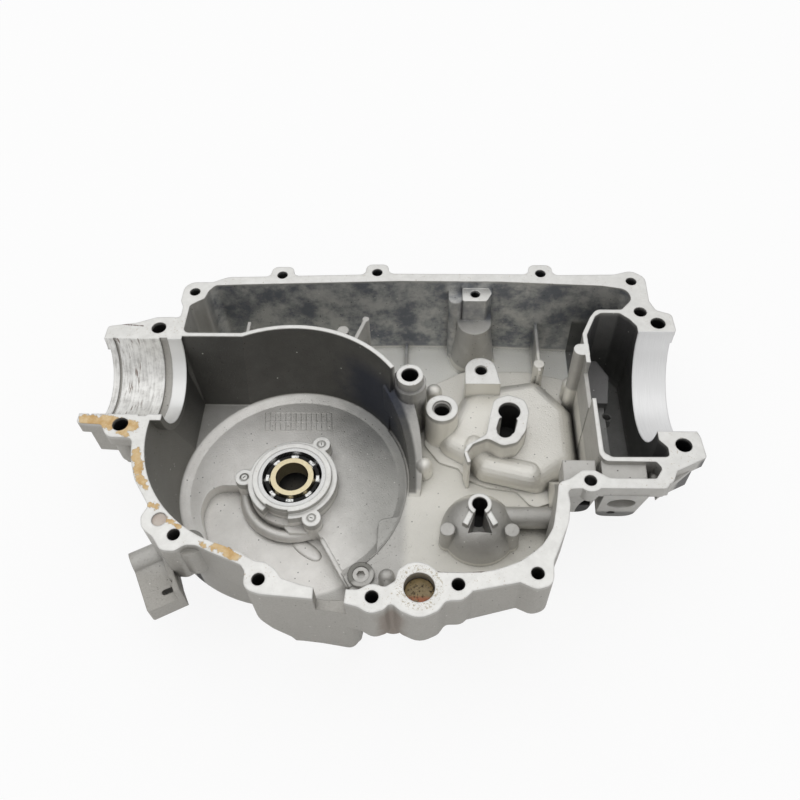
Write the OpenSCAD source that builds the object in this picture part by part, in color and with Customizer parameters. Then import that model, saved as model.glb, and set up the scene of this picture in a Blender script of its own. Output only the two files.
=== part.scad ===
// Crankcase side cover: one aluminium casting with a ball bearing pressed into
// it and a screwed oil-way plug. Lengths are in millimetres.
// The origin is the middle of the bearing, Z is the bearing axis and points out
// of the joint face, X runs along the two half-round shaft seats.
// Depths are counted down from the joint face.

/* [Joint face] */
// Height of the joint face above the middle of the bearing
joint_z = 72.5; // [70:0.5:76]
// Diameter of the plain holes for the flange bolts
bolt_hole_d = 8.5; // [8:0.1:9.5]
// Diameter of the larger flange holes near the shaft seats
large_hole_d = 11.4; // [10.5:0.1:12.5]
// Diameter of the varnished oil hole in the front flange
oil_hole_d = 19.4; // [17:0.1:20.5]

// Thickness of the flange where it overhangs the wall
flange_t = 11; // [9:0.5:13]

/* [Shaft seats] */
// Distance of the shaft axis behind the bearing axis
shaft_y = 46.6; // [45:0.1:48]
// Radius of the left half-round seat
left_seat_r = 35.5; // [34:0.1:37]
// Radius of the right half-round seat
right_seat_r = 45.5; // [44:0.1:47]
// Wall thickness outside both half-round seats
seat_wall = 6; // [5:0.5:7]

/* [Hollows] */
// Radius of the round chamber at the joint face
drum_r = 94; // [93:0.5:95]
// Thickness of the thin inner walls
thin_wall = 3.2; // [2.8:0.1:4]
// Depth of the floor disc under the joint face
disc_depth = 81; // [80:0.5:82]
// Depth of the front low floor under the joint face
low_depth = 92; // [90:0.5:93]
// Depth of the middle chamber
mid_depth = 78; // [76:0.5:79]
// Depth of the back chamber
back_depth = 83; // [81:0.5:84]
// Depth of the lowest outside face
base_depth = 98; // [97:0.5:100]
// Radius of the fat rounded edge of the raised cover
cover_edge_r = 14; // [12:0.5:15]

/* [Bearing] */
// Bore diameter of the bearing
bearing_bore = 25; // [24.5:0.1:25.5]
// Outside diameter of the bearing
bearing_od = 52; // [51:0.1:53]
// Width of the bearing
bearing_width = 15; // [14:0.5:16]
// Number of balls
ball_count = 8; // [7:9]
// Ball diameter
ball_d = 7.94; // [7.5:0.01:8]
// Gap between the balls and the grooves
ball_gap = 0.03; // [0.02:0.01:0.08]
// Gap between the balls and the cage pockets
pocket_gap = 0.1; // [0.05:0.05:0.2]

/* [Oil-way plug] */
// Thread diameter of the plug screw
plug_d = 12; // [10:0.5:12]
// Length of the plug screw
plug_length = 9; // [8:0.5:10]

/* [Hidden] */
$fn = 64;
e = 0.01;
arc_step = 14;
deep = joint_z - base_depth;
pitch_r = (bearing_bore + bearing_od) / 4;
inner_land_r = pitch_r - 2.65;
outer_land_r = pitch_r + 3.65;
cage_half = 4.8;
groove_r = ball_d / 2 + ball_gap;
hub_r = 30.5;
ear_r = 37.8;
ear_depth = 68.6;
ear_angles = [59, 178.5, 298];
bearing_top = joint_z - bearing_width / 2;
lip_top = bearing_top - 0.4;
plug_at = [56.8, -74.8];
oil_hole_at = [100.2, -116.3];
big_post_at = [90, 59.2];
ring_post_at = [114.6, 48.1];
clip_at = [142, -31.5];
bolt_holes = [rim(235, 7.9), [-84.4, 132.3], [-15.9, 151.6], [61.4, 154.8], [193.3, 154.1],
    [264.5, 145.5], [212.5, -39], [0.5, -113], [71.4, -123],
    [124.1, -113.9], [173, -105.7]];
large_holes = [[-105.7, 93.6], [-114.1, 2.3], [278.7, 101], [278.5, -10.2]];
left_end = -144;
left_inner = -96;
right_inner = 262.5;
right_end = 288.5;
box_depth = 80;
disc_edge_r = drum_r - 9.4;
// everything that stands on a floor is rooted below the deepest one
root_depth = max(mid_depth, back_depth) + 2;
floor_t = 6;
// lean of the front wall at the right end, in degrees
lean = 34;
boss_lean = 12;
boss_x = 237;

function unit(v) = v / norm(v);

// A point at an angle round the bearing, so far outside the round chamber.
function rim(a, out) = (drum_r + out) * [cos(a), sin(a)];

// The same with the radius of its corner.
function rim3(a, out, r) = [each rim(a, out), r];

// Outer face of the thin wall behind the round chamber, at a given x.
function wall_y(x) = sqrt(pow(drum_r + thin_wall, 2) - x * x);

// One corner of a rounded outline: b with radius b.z between a and c.
function corner(a, b, c) =
    let (p = [b.x, b.y], u = unit([a.x, a.y] - p), w = unit([c.x, c.y] - p),
        half = acos(max(-1, min(1, u * w))) / 2)
    (b.z <= 0 || half > 86) ? [p] :
    let (t = min(b.z / tan(half), 0.48 * norm([a.x, a.y] - p), 0.48 * norm([c.x, c.y] - p)),
        r = t * tan(half), m = p + unit(u + w) * r / sin(half),
        f = p + u * t, g = p + w * t,
        a0 = atan2(f.y - m.y, f.x - m.x),
        a1 = atan2(g.y - m.y, g.x - m.x),
        sweep = (a1 - a0 + 540) % 360 - 180,
        n = max(1, ceil(abs(sweep) / arc_step)))
    [for (i = [0 : n]) m + r * [cos(a0 + sweep * i / n), sin(a0 + sweep * i / n)]];

// A closed outline whose points carry their own corner radius.
function soft(q) = [for (i = [0 : len(q) - 1])
    each corner(q[(i + len(q) - 1) % len(q)], q[i], q[(i + 1) % len(q)])];

// Solid between two depths under the joint face.
module slab(top, bottom) {
    translate([0, 0, joint_z - bottom])
        linear_extrude(height = bottom - top)
            children();
}

module post(at, r, top, bottom) {
    translate([at.x, at.y, joint_z - bottom])
        cylinder(r = r, h = bottom - top);
}

module taper(at, r_top, r_bottom, top, bottom) {
    translate([at.x, at.y, joint_z - bottom])
        cylinder(r1 = r_bottom, r2 = r_top, h = bottom - top);
}

// Horizontal cylinder along X at a given depth.
module along_x(x0, x1, y, depth, r) {
    translate([x0, y, joint_z - depth])
        rotate([0, 90, 0])
            cylinder(r = r, h = x1 - x0);
}

// Outlines at the joint face.

flange_pts = [[-146, 3, 2], [-128, 2, 3], [-121.5, -8.5, 8], rim3(185, 9.4, 5),
    rim3(194.6, 9.3, 30), rim3(204.7, 8.9, 30), rim3(218.4, 7.4, 4), rim3(220.6, 15, 6),
    rim3(224.3, 19, 9), rim3(229.7, 17.4, 10), rim3(235.5, 20.8, 7), rim3(239.5, 16.3, 6),
    rim3(241.1, 9.4, 6), rim3(244.6, 6.2, 10), rim3(250.8, 6.6, 20), rim3(263.4, 10.2, 6),
    [-8.6, -108, 6],
    [-8.6, -119, 9], [2, -122.6, 10], [34, -125, 0], [55, -127.5, 4],
    [63, -129.5, 8], [71, -134, 9], [79, -131, 5], [83, -126.5, 5],
    [89, -131.5, 6], [100.5, -136.5, 20], [112, -131, 8], [116.5, -124.5, 5],
    [127, -124, 8], [136, -115, 10], [148, -110, 20], [160, -111, 12],
    [172, -116.5, 9], [182.5, -113, 8], [183.5, -98, 10], [195.5, -70, 15],
    [197.6, -56, 10], [196.5, -45.5, 4], [218, -44.8, 5], [262, -44.5, 4],
    [265.5, -38, 3], [267.5, -32.5, 3], [292, -20, 2], [291, -4, 6],
    [288.5, 4, 4], [288.5, 88, 4], [291, 94, 3], [290.5, 110, 4], [279, 114.5, 5],
    [275.5, 124, 6], [276, 150, 9], [266, 157.5, 9], [252, 153, 12],
    [202.8, 152.2, 5], [202.8, 163.6, 9.4], [183.8, 163.6, 9.4], [183.8, 153, 5],
    [70.6, 153.4, 5], [70.6, 164, 9], [52.2, 164, 9], [52.2, 152.4, 5],
    [-6.8, 150.6, 5], [-6.8, 160.8, 9], [-25, 160.8, 9], [-25, 149.8, 5],
    [-60, 149, 12], [-72, 143, 6], [-94, 143, 9.4], [-94, 122, 8], [-91, 116, 8],
    [-91, 104, 4], [-98, 104.8, 8], [-110, 104.4, 9], [-124, 98.6, 12],
    [-146, 95, 3]];

// Back and middle chambers together, as the joint face shows them.
hollow_pts = [[-86, 88.6, 5], [-86, 117.5, 4], [-80, 122.5, 3], [-75.6, 125, 5],
    [-73.4, 134, 8], [-69, 139.8, 4], [-45, 141, 40], [80, 145.4, 60],
    [160, 145, 60], [241, 140.8, 12], [260, 137, 9], [262.8, 126, 9],
    [253, 114.8, 3], [233.5, 114.8, 6], [228, 107, 4], [220.4, 90, 3],
    [220.4, 30, 0], [221, 30, 0], [220.6, -18, 8], [224, -23.7, 5],
    [258, -23.7, 2], [261.3, -29, 3], [256, -37.1, 2], [225.5, -37.1, 6],
    [216, -31.2, 4], [208, -31, 6], [199, -38, 8], [191.3, -41, 5],
    [188.6, -57, 20], [185.2, -74, 18], [177.5, -87, 30], [163, -98, 30],
    [146, -104.6, 30], [128, -106.2, 20], [112, -106, 5], [105, -101, 6],
    [99.5, -99.4, 6], [93, -100.4, 6], [87, -105, 5], [85.5, -112.4, 4],
    [79, -116.8, 4], [71, -113.8, 9], [63, -118.6, 5], [40, -118.6, 0], [40, -30, 0],
    [60, 20, 0], [30, 60, 0], [-40, 60, 0], [-60, 88.6, 0]];

// Front part of the round chamber outside its circle.
front_pts = [[-20, -60, 0], [-46, -82, 0], [-14, -95.2, 10], [-3, -101, 4],
    [3.5, -101.6, 6], [10, -106, 6], [14.5, -112, 4], [27, -116, 8],
    [40, -118.6, 4], [62, -118.6, 0], [62, -60, 0]];

box_pts = [[223.6, 89, 5], [231.8, 108, 5], [236.5, 111.6, 4], [251, 111.6, 4],
    [258, 105, 6], [262.5, 98, 4], [262.5, -6, 2], [267.6, -12, 3],
    [267.6, -20, 3], [229, -20.5, 5], [223.8, -17, 4]];

module flange_2d() {
    polygon(soft(flange_pts));
}

// The thin wall that parts the round chamber from the back chamber.
module drum_outside_2d() {
    circle(r = drum_r + thin_wall, $fn = 120);
    translate([-100, 0])
        square([64, 88.6]);
}

module main_hollow_2d() {
    difference() {
        polygon(soft(hollow_pts));
        drum_outside_2d();
    }
}

// Part of the middle chamber in front of and beside the round chamber.
module mid_2d() {
    intersection() {
        difference() {
            polygon(soft(hollow_pts));
            circle(r = drum_r - 5, $fn = 120);
        }
        polygon([[62, -130], [300, -130], [300, 62], [99, 62], [84, 34], [90, 0],
            [80, -34], [66, -34]]);
    }
}

// Outside of the casting.

// Slanted cut under the front right wall, below the short skirt.
module front_cut(x0, x1, y, depth, angle) {
    translate([x0, y, joint_z - depth])
        rotate([angle, 0, 0])
            translate([0, -90, -120])
                cube([x1 - x0, 90, 120]);
}

// Front sump, narrower towards its foot.
module sump() {
    difference() {
        intersection() {
            slab(0, base_depth)
                polygon(soft([[-8.6, -90, 0], [-8.6, -119, 9], [2, -122.6, 10],
                    [34, -125, 0], [60, -128, 8], [60, -60, 0]]));
            translate([0, -50, joint_z])
                rotate([90, 0, 0])
                    linear_extrude(height = 90)
                        polygon([[-9, 1], [-9, -44], [13, -70], [24, -base_depth - 1],
                            [61, -base_depth - 1], [61, 1]]);
        }
        front_cut(-12, 64, -124, 76, 42);
    }
}

// Cup of the round chamber with a rounded lower edge.
module cup() {
    translate([0, 0, deep])
        rotate_extrude($fn = 120)
            union() {
                square([drum_r - 20, base_depth]);
                translate([drum_r - 20, 26])
                    circle(r = 26);
                translate([0, 26])
                    square([drum_r + 6, base_depth - 26]);
            }
}

// The wall under the flange stands back from its edge on the far sides.
module skirt_2d() {
    intersection() {
        flange_2d();
        polygon([[-100, -24], [-103, -130], [60, -150], [300, -150], [300, -52],
            [190, -52], [60, 20], [-60, 20]]);
    }
    offset(delta = -4)
        flange_2d();
}

// Nothing stands above the joint face.
module above_face() {
    translate([-200, -200, joint_z])
        cube([600, 500, 120]);
}

module outside() {
    difference() {
        union() {
            slab(0, flange_t)
                flange_2d();
            slab(0, 40)
                skirt_2d();
            for (p = bolt_holes)
                post(p, 8.4, 0, 36);
            for (p = large_holes)
                post(p, 9.6, 0, 34);
            cup();
            sump();
            // back and middle part
            slab(0, mid_depth + floor_t)
                polygon(soft([[20, -90, 0], [100, -125, 20], [180, -108, 24],
                    [194, -60, 16], [198, -41, 4], [266, -41, 6], [272, -28, 4],
                    [272, 6, 4], [267, 14, 4], [267, 110, 4], [263, 146, 14],
                    [240, 148.8, 10], [80, 149.5, 10], [-40, 147, 20], [-70, 144, 8],
                    [-80, 134, 8], [-90, 122, 6], [-90, 89, 3], [-98, 88, 3],
                    [-98, 6, 3], [-60, 0, 0]]));
            slab(mid_depth, back_depth + 5)
                polygon(soft([[-78, 70, 6], [-80, 118, 10], [-62, 142, 10],
                    [250, 142, 12], [256, 60, 10], [100, 60, 0]]));
            // feet under the back and the right end
            for (p = [[-56, 120], [236, 122], [236, 34], [150, 20]])
                taper(p, 10, 8, mid_depth, base_depth);
            // housings of the shaft seats
            along_x(left_end, left_inner, shaft_y, 0, left_seat_r + seat_wall);
            along_x(right_inner - 1, right_end, shaft_y, 0, right_seat_r + seat_wall);
        }
        above_face();
    }
}

// The front of the underside leans back behind a short skirt.
module underside_cuts() {
    front_cut(61, 300, -127, 41, 46);
    front_cut(128, 300, -112, 41, 36);
    translate([196, -60, 0])
        rotate([0, 0, 58])
            front_cut(-60, 60, 0, 44, 6);
    front_cut(198, 300, -44, flange_t, lean);
}

// Hollows.

module drum_hollow() {
    taper([0, 0], drum_r, drum_r - 5.5, -e, mid_depth - 1);
    slab(-e, mid_depth - 1)
        intersection() {
            polygon(soft(front_pts));
            translate([-20, -130])
                square([82, 70]);
        }
    // corner beside the left seat, with leaning walls
    hull() {
        slab(-e, 0.1)
            polygon([[-94, 8], [-94, 82], [-88, 85.4], [-30, 85.4], [-30, 8]]);
        slab(mid_depth - 1.1, mid_depth - 1)
            polygon([[-83, 8], [-83, 76], [-25, 76], [-25, 8]]);
    }
    // sunk floor disc with a sloping rim
    taper([0, 0], drum_r - 5.6, disc_edge_r, mid_depth - 1 - e, disc_depth - 1.6);
    taper([0, 0], disc_edge_r, disc_edge_r - 3.1, disc_depth - 1.6 - e, disc_depth);
}

module low_floor() {
    slab(disc_depth - 4, low_depth)
        intersection() {
            union() {
                circle(r = drum_r - 8, $fn = 120);
                translate([-4, -119])
                    square([60, 60]);
            }
            polygon(soft([[-36, 0.6, 3], [-66, 0.6, 14], [-72, -22, 30], [-58, -55, 20],
                [-46, -78, 4], [-14, -94, 8], [-3, -100, 6], [10, -104, 6],
                [27, -115, 8], [48, -118, 6], [50, -86, 6], [22, -40, 3], [0, -40, 0]]));
        }
}

// Slanted face left inside a front wall.
module inner_slope(x0, x1, y, depth, angle) {
    translate([x0, y, joint_z - depth])
        rotate([angle, 0, 0])
            translate([0, -60, -90])
                cube([x1 - x0, 60, 90]);
}

module hollows() {
    difference() {
        union() {
            drum_hollow();
            low_floor();
            slab(-e, back_depth)
                intersection() {
                    main_hollow_2d();
                    translate([-100, 60])
                        square([400, 110]);
                }
            slab(-e, mid_depth)
                main_hollow_2d();
            // the thin wall ends beside the big post
            slab(-e, mid_depth)
                intersection() {
                    difference() {
                        circle(r = drum_r + thin_wall + 1, $fn = 120);
                        circle(r = drum_r - 6, $fn = 120);
                    }
                    polygon([[0, 0], [130, 94], [200, 0], [200, -130], [60, -130],
                        [60, -60]]);
                }
            slab(60, mid_depth)
                mid_2d();
            slab(-e, box_depth)
                polygon(soft(box_pts));
        }
        // inside of the leaning front walls
        inner_slope(86, 196, -104, 44, 36);
        inner_slope(196, 272, -31, 22, lean);
    }
}

// Features inside the hollows and round the outside.

// Flange ring of the hub with its three ears.
module hub_flange_2d() {
    circle(r = 34.6);
    for (a = ear_angles)
        rotate(a) {
            translate([ear_r, 0])
                circle(r = 7.2);
            translate([hub_r - 4, -6.2])
                square([ear_r - hub_r + 4, 12.4]);
        }
}

module hub() {
    post([0, 0], hub_r, lip_top, low_depth + 1);
    slab(ear_depth, low_depth + 1)
        hub_flange_2d();
    // rounded ring round the foot of the hub
    translate([0, 0, joint_z - low_depth + 3.5])
        rotate_extrude($fn = 96)
            translate([39, 0])
                circle(r = 5, $fn = 24);
}

module hub_cuts() {
    // seat of the bearing, shoulder and the space under it
    post([0, 0], bearing_od / 2, lip_top - 4, bearing_top + bearing_width);
    post([0, 0], 22, 60, 88);
    // oil slot through the front of the flange ring
    intersection() {
        difference() {
            post([0, 0], 46, 60, 79);
            post([0, 0], 29.4, 50, 90);
        }
        rotate([0, 0, 235])
            slab(60, 79)
                polygon([[0, 0], [60, 0], [60 * cos(35), 60 * sin(35)]]);
    }
    // marks on the ears
    for (a = ear_angles)
        rotate([0, 0, a])
            translate([ear_r, 0, joint_z - ear_depth - 0.5])
                difference() {
                    cylinder(r = 3.6, h = 2, $fn = 32);
                    translate([0, 0, -1])
                        cylinder(r = 2.4, h = 4, $fn = 32);
                }
}

module plug_boss() {
    post(plug_at, 9.6, disc_depth - 6, disc_depth + 3);
    // the middle floor reaches into the circle of the disc
    slab(mid_depth, disc_depth + 2)
        polygon(soft([[67.5, -29, 4], [92, -24, 0], [92, -100, 0], [66, -104, 0]]));
}

module tower() {
    slab(8, 31)
        polygon(soft([[130.6, 131, 2], [150, 131, 3], [154.5, 140, 6], [155, 150, 0],
            [130.6, 150, 0]]));
    post([125.4, 136], 5.8, 10, root_depth);
    slab(10, root_depth)
        translate([119.6, 136])
            square([12, 14]);
    slab(31, root_depth) {
        translate([141, 129.5])
            circle(r = 13.8);
        translate([127.2, 129.5])
            square([27.6, 20]);
    }
    taper([141, 132], 14, 20, 42, root_depth);
}

module ribs() {
    slab(1.5, 40)
        translate([-37.2, wall_y(-36) - 3])
            square([2.4, 14]);
    slab(2, root_depth)
        polygon([[46, 84], [48.6, 83], [56, 105], [53.4, 106]]);
    post([54.7, 105.5], 2.6, 2, root_depth);
    post([37.7, 93.6], 4.4, 2, root_depth);
    slab(78, root_depth)
        translate([82.8, 64])
            square([2.6, 84]);
    slab(48, root_depth)
        translate([192.4, 92])
            square([2.6, 56]);
    post([193.7, 99], 4.4, 47.4, root_depth);
    post([217.8, 74.5], 5.3, 0, root_depth);
    slab(0, root_depth)
        translate([217.8, 69.2])
            square([6, 10.6]);
}

// Thick wall that falls from the big post to the floor beside the disc.
module falling_wall() {
    intersection() {
        slab(8, disc_depth + 2)
            intersection() {
                difference() {
                    translate([-6, 10])
                        circle(r = drum_r + 12, $fn = 120);
                    circle(r = drum_r - 4, $fn = 120);
                }
                polygon([[0, 0], [130, -90], [130, 40], [100, 84]]);
            }
        translate([60, 60, joint_z - 24])
            rotate([38, 0, 0])
                translate([0, -160, -120])
                    cube([60, 200, 120]);
    }
}

module posts() {
    // big bored post at the end of the thin wall
    post(big_post_at, 10.2, 13, root_depth);
    post(big_post_at, 12.4, 22, root_depth);
    // ring post
    taper(ring_post_at, 12.4, 13.4, 40, root_depth);
    // lug with a straight front side
    slab(45, root_depth) {
        translate([146, 90])
            circle(r = 12.6);
        polygon([[133.3, 75.9], [161.5, 75.9], [158.4, 92], [133.4, 90]]);
    }
    // small round-topped pins
    for (p = [[108.3, 76, 50, 6.5], [101, 12, 59, 6.8], [219, 86.7, 53, 6.4],
        [76, -80, 62, 6]]) {
        post([p.x, p.y], p[3], p.z + p[3], root_depth);
        translate([p.x, p.y, joint_z - p.z - p[3]])
            sphere(r = p[3], $fn = 48);
    }
}

// Broad raised cover over the gear space: a ledge, a plateau with a fat rounded
// edge and a rounded ridge that curls along its front left.
module bulge() {
    slab(mid_depth - 2, root_depth)
        polygon(soft([[101.5, 37, 8], [101, 70, 14], [106, 97, 14], [134, 113, 26],
            [186, 113, 24], [221, 104, 4], [221, 4, 4], [202, -12, 6], [184, -19, 8],
            [172, -4, 6], [150, -1, 8], [134, 6, 6], [128, 16, 6], [113, 21, 6]]));
    hull()
        for (p = [[127, 38], [144, 74], [188, 82], [206, 60], [206, 22], [186, 8],
            [156, 20]])
            translate([p.x, p.y, joint_z - mid_depth + cover_edge_r - 10])
                sphere(r = cover_edge_r, $fn = 32);
    for (leg = [[[140, 30], [150, 14]], [[150, 14], [182, 6]]])
        hull()
            for (p = leg)
                translate([p.x, p.y, joint_z - mid_depth + 8])
                    sphere(r = 12, $fn = 24);
}

module keyhole_boss() {
    slab(40, root_depth)
        polygon(soft([[131, 8, 1], [133, 14, 3], [148, 24, 5], [151.5, 42, 12],
            [155, 57, 8], [166, 61.5, 8], [179, 57, 9], [181.5, 45, 12], [178, 28, 10],
            [171, 17, 8], [160, 14, 7], [149, 20.5, 5], [138, 15.5, 4], [133.6, 8.5, 1],
            [136, 0, 1], [133.5, -1.5, 1]]));
}

module keyhole_cuts() {
    slab(38, 70)
        polygon(soft([[158.6, 40, 3], [155, 27, 3], [168.6, 24, 3], [173, 40, 3]]));
    post([166.4, 45.8], 8.4, 38, 74);
    post([162.1, 27.2], 6, 38, 74);
}

// Split ring post on a domed foot, with two studs.
module clip_post() {
    intersection() {
        translate([142, -38, joint_z - mid_depth])
            sphere(r = 28, $fn = 96);
        slab(40, mid_depth + 1)
            translate([142, -38])
                circle(r = 30);
    }
    difference() {
        post(clip_at, 8.6, 47, mid_depth);
        translate([142, -40, joint_z - 80])
            linear_extrude(height = 40)
                polygon([[0, 6], [7.5, -8], [-7.5, -8]]);
    }
    for (s = [-1, 1])
        slab(49, mid_depth)
            polygon([[142 + s * 4, -37], [142 + s * 7.6, -35.4], [142 + s * 12.6, -45.5],
                [142 + s * 9, -48]]);
    for (x = [118.8, 164.9])
        taper([x, -48], 5.3, 6.2, 55, mid_depth + 1);
    // horizontal oil way to the right wall
    along_x(150, 196, -31, 68, 8);
}

module clip_cuts() {
    post(clip_at, 5.6, 44, 76);
    slab(44, 72)
        polygon([[142, -35], [145, -36], [150.6, -51], [133.4, -51], [139, -36]]);
}

module box_fittings() {
    // block with a tapped hole and the pier beside it
    slab(46, box_depth + 2)
        translate([223, 6])
            square([17, 48]);
    slab(40, box_depth + 2)
        polygon(soft([[223, 54, 0], [223, 96, 0], [238, 96, 3], [246, 80, 3],
            [242, 54, 0]]));
    slab(64, box_depth + 2)
        translate([223, -22])
            square([26, 30]);
    // small pocket below the box
    for (p = [[239.9, -28, 20, 13.5], [259.6, -26, 18, 5]]) {
        post([p.x, p.y], p[3], p.z, root_depth);
        translate([p.x, p.y, joint_z - p.z])
            sphere(r = p[3], $fn = 48);
    }
}

// Half-round seats: the housings stay, the middle is bored out.
module seat_cuts() {
    along_x(left_end - 10, left_inner + 20, shaft_y, 0, left_seat_r);
    along_x(left_end + 5, left_end + 7, shaft_y, 0, left_seat_r + 1);
    along_x(left_inner - 7, left_inner - 1, shaft_y, 0, left_seat_r + 1.4);
    along_x(right_inner - 1, right_end + 10, shaft_y, 0, right_seat_r);
}

module left_lip() {
    difference() {
        along_x(left_inner - 1, left_inner + 10, shaft_y, 0, left_seat_r + 5);
        translate([-200, -200, joint_z])
            cube([400, 400, 200]);
    }
}

module flange_cuts() {
    for (p = bolt_holes)
        post(p, bolt_hole_d / 2, -1, 30);
    for (p = large_holes)
        post(p, large_hole_d / 2, -1, 30);
    post([267, 112.6], 5, -1, 26);
    post(oil_hole_at, oil_hole_d / 2, -1, 24);
    // shallow sunk round and the short notch in the back edge
    post([-70.2, -72.6], 5, -1, 1.2);
    slab(-1, 3)
        polygon([[100, 156], [100, 153.2], [109, 153.2], [110, 156]]);
    // notch through the front flange
    slab(-1, 17)
        polygon([[35, -112], [55.5, -114], [54.5, -131], [35.5, -131]]);
    // tapped hole in the tower, lug, posts and the box block
    post([140.9, 138.6], 3.9, 0, 36);
    post([146.2, 89.9], 5, 40, 66);
    post(big_post_at, 6.6, 8, 60);
    post(ring_post_at, 6.2, 36, 64);
    post(ring_post_at, 7.4, 36, 42);
    post([241.6, 46], 3.6, 40, 70);
    post(plug_at, plug_d / 2, disc_depth - 8, disc_depth - 6 + plug_length + 1);
}

module box_saddle() {
    slab(-1, 13)
        polygon([[216, 29], [228, 29], [228, 62], [216, 62]]);
}

module bracket() {
    translate([-88, -78, joint_z - 58])
        rotate([0, 0, -62]) {
            linear_extrude(height = 14)
                polygon(soft([[-6, -12, 4], [40, -12, 2], [40, 12, 2], [-6, 16, 0]]));
            linear_extrude(height = 26)
                translate([-4, 9])
                    square([44, 4]);
            translate([0, -12, 12])
                rotate([-90, 0, 0])
                    cylinder(r = 8, h = 26);
        }
}

module bracket_cut() {
    translate([-68.5, -103, joint_z - 70])
        rotate([0, 0, 25])
            linear_extrude(height = 40)
                polygon(soft([[-5, -2, 1.9], [5, -2, 1.9], [5, 2, 1.9], [-5, 2, 1.9]]));
}

// Rounded boss on the leaning front wall at the right end.
module front_boss(x, half_w, length) {
    translate([x, -20, joint_z - 8])
        rotate([boss_lean + 90, 0, 0])
            linear_extrude(height = 25)
                polygon(soft([[-half_w, 4, 0], [half_w, 4, 0], [half_w - 2, -length, 9],
                    [2 - half_w, -length, 9]]));
}

module front_boss_holes() {
    translate([boss_x, -20, joint_z - 8])
        rotate([boss_lean + 90, 0, 0]) {
            translate([0, -13, 15])
                cylinder(r = 9.5, h = 20);
            translate([-3, -34, 17])
                cylinder(r = 3, h = 20);
        }
}

module outer_lugs() {
    // stub, half-round lug, bosses and gusset of the lower right lug
    post([-48.8, -86], 9, 6, 34);
    taper([83, -118], 8, 11, 20, 46);
    front_boss(boss_x, 15, 43);
    front_boss(207, 11, 34);
    hull() {
        slab(flange_t - 2, flange_t - 1)
            polygon([[262, -40], [268, -36], [290, -19], [288, -14], [262, -28]]);
        slab(30, 31)
            polygon([[262, -36], [270, -30], [272, -26], [262, -28]]);
    }
}

module casting() {
    color("silver")
    difference() {
        union() {
            difference() {
                union() {
                    difference() {
                        outside();
                        hollows();
                    }
                    hub();
                    plug_boss();
                    tower();
                    ribs();
                    falling_wall();
                    posts();
                    bulge();
                    keyhole_boss();
                    clip_post();
                    box_fittings();
                    left_lip();
                }
                underside_cuts();
            }
            bracket();
            outer_lugs();
        }
        hub_cuts();
        keyhole_cuts();
        clip_cuts();
        seat_cuts();
        flange_cuts();
        box_saddle();
        bracket_cut();
        front_boss_holes();
        above_face();
    }
}

// Ball bearing.

module bearing_outer() {
    color("gainsboro")
    rotate_extrude()
        difference() {
            translate([outer_land_r, -bearing_width / 2])
                square([bearing_od / 2 - outer_land_r, bearing_width]);
            translate([pitch_r, 0])
                circle(r = groove_r);
        }
}

module bearing_inner() {
    color("khaki")
    rotate_extrude()
        difference() {
            translate([bearing_bore / 2, -bearing_width / 2])
                square([inner_land_r - bearing_bore / 2, bearing_width]);
            translate([pitch_r, 0])
                circle(r = groove_r);
        }
}

// One ball; the first stands at the back and the rest follow round the track.
module ball(i) {
    color("white")
    rotate([0, 0, 90 + (i - 1) * 360 / ball_count])
        translate([pitch_r, 0, 0])
            sphere(d = ball_d, $fn = 40);
}

// Ring with a round pocket for each ball.
module bearing_cage() {
    color("dimgray")
    difference() {
        translate([0, 0, -cage_half])
            linear_extrude(height = 2 * cage_half)
                difference() {
                    circle(r = pitch_r + 1.5);
                    circle(r = pitch_r - 1.1);
                }
        for (i = [0 : ball_count - 1])
            rotate([0, 0, 90 + i * 360 / ball_count])
                translate([pitch_r, 0, 0])
                    sphere(d = ball_d + 2 * pocket_gap, $fn = 40);
    }
}

module oil_plug() {
    color("darkgray")
    translate([plug_at.x, plug_at.y, joint_z - disc_depth + 6 - plug_length - 0.6])
        difference() {
            cylinder(d = plug_d, h = plug_length);
            translate([0, 0, plug_length - 3.5])
                cylinder(d = 6.4, h = 4, $fn = 6);
        }
}

casting();
bearing_outer();  // bearing_outer_ring
bearing_inner();  // bearing_inner_ring
bearing_cage();
oil_plug();  // oil_way_plug
for (i = [1 : ball_count])
    ball(i);
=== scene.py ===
"""Looks of the crankcase side cover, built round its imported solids.

The cover is one grey casting with bright machined faces. It lies with its
hollow side up, so the round chamber, the ball bearing, the posts and the
raised gear cover show. Lengths are millimetres in the part's own frame, and
a depth is counted down from the joint face; meshes are written in metres.
"""

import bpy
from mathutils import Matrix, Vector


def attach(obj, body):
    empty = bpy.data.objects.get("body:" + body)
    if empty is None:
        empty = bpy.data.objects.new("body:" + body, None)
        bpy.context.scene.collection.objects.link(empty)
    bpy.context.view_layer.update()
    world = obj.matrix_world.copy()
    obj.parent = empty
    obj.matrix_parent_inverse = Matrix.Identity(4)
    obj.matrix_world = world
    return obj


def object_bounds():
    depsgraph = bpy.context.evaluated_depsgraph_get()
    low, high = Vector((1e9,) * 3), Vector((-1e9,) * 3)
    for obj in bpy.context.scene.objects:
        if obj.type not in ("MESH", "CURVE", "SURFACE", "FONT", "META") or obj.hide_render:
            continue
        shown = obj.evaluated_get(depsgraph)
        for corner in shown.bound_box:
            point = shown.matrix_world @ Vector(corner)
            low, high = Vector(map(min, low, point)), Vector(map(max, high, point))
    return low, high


bl_info = {
    "name": "Crankcase side cover",
    "version": (1, 0, 0),
    "blender": (4, 5, 0),
    "location": "View3D > Sidebar > Cover",
    "description": "Finishes, cast marks, sealant residue and studio for the crankcase side cover",
    "category": "Object",
}

import math

import bpy
import numpy as np
from bpy.props import (
    FloatProperty,
    FloatVectorProperty,
    PointerProperty,
)
from mathutils import Matrix, Vector

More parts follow.
